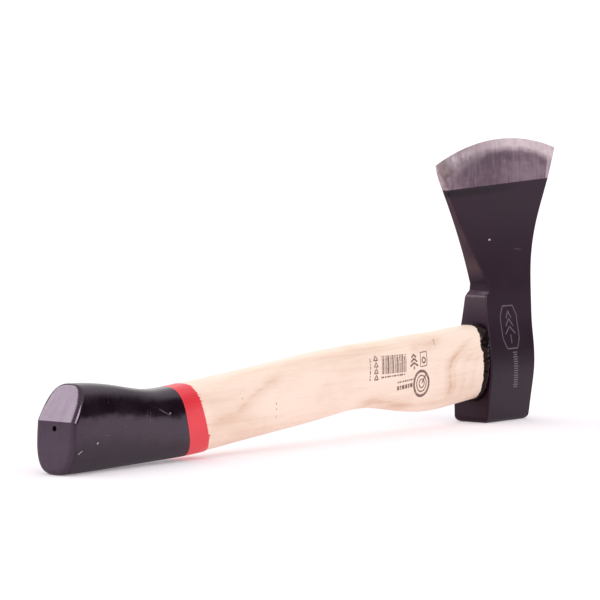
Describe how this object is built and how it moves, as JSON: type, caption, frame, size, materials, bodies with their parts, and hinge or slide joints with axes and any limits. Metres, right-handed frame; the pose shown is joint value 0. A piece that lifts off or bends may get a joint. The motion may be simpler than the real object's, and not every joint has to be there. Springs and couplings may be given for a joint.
{
  "type": "hatchet",
  "caption": "One-hand hatchet: forged head with a ground curved edge and a flat poll, wedged on a curved wooden handle with a black dipped end and a red band.",
  "frame": {"origin": "middle of the poll's flat face, which rests on the ground together with the handle's knob end", "axes": "+X along the handle from its knob end towards the head and the toe of the edge; +Y across the thickness; +Z from the poll up to the cutting edge"},
  "size_m": [0.4461, 0.0276, 0.1675],
  "materials": {
    "head": "satin black paint over forged steel, with a bare ground bit",
    "wood": "pale ash, sanded and clear lacquered",
    "wedge_wood": "plain hardwood end grain",
    "wedge_steel": "plain steel",
    "resin": "glossy black resin",
    "black_lacquer": "glossy black dipped lacquer",
    "red_lacquer": "satin red dipped lacquer"
  },
  "bodies": {
    "root": {"head": "head", "handle": "wood", "wood_wedge": "wedge_wood", "steel_wedges": "wedge_steel", "eye_resin_bead": "resin", "grip_dip_coat": "black_lacquer", "red_band_coat": "red_lacquer"}
  },
  "joints": []
}
